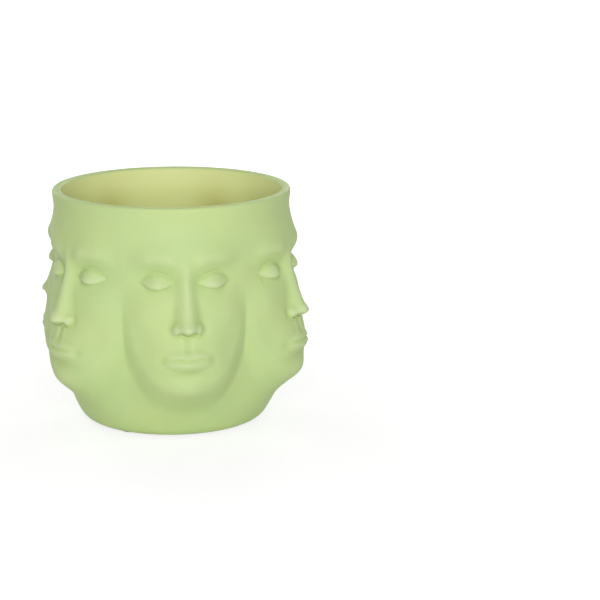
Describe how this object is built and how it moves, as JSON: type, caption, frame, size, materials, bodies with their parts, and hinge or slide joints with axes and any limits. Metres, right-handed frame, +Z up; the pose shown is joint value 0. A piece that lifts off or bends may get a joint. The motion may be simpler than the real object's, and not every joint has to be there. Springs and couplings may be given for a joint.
{
  "type": "ceramic planter",
  "caption": "Ceramic plant pot whose rounded wall is a ring of calm relief heads, with a drain hole, a rubber drain plug, a drain screen and rubber foot pads.",
  "frame": {"origin": "on the surface that the foot pads stand on, under the middle of the pot", "axes": "+Z up along the pot's axis, and the first head looks along -Y"},
  "size_m": [0.1432, 0.1624, 0.1315],
  "materials": {
    "glaze": "satin pale pistachio green glaze over fired stoneware",
    "net_plastic": "moulded matt plastic",
    "plug_rubber": "moulded silicone rubber, off-white",
    "pad_rubber": "die-cut matt rubber, pale grey"
  },
  "bodies": {
    "pot": {"pot_body": "glaze", "foot_pad_1": "pad_rubber", "foot_pad_2": "pad_rubber", "foot_pad_3": "pad_rubber", "foot_pad_4": "pad_rubber"},
    "screen": {"drain_screen": "net_plastic"},
    "plug": {"drain_plug": "plug_rubber"}
  },
  "joints": [
    {"name": "screen_lift", "type": "slide", "parent": "pot", "child": "screen", "axis": [0, 0, 1], "range_m": [0, 0.12]},
    {"name": "plug_pull", "type": "slide", "parent": "pot", "child": "plug", "axis": [0, 0, -1], "range_m": [0, 0.02]}
  ]
}
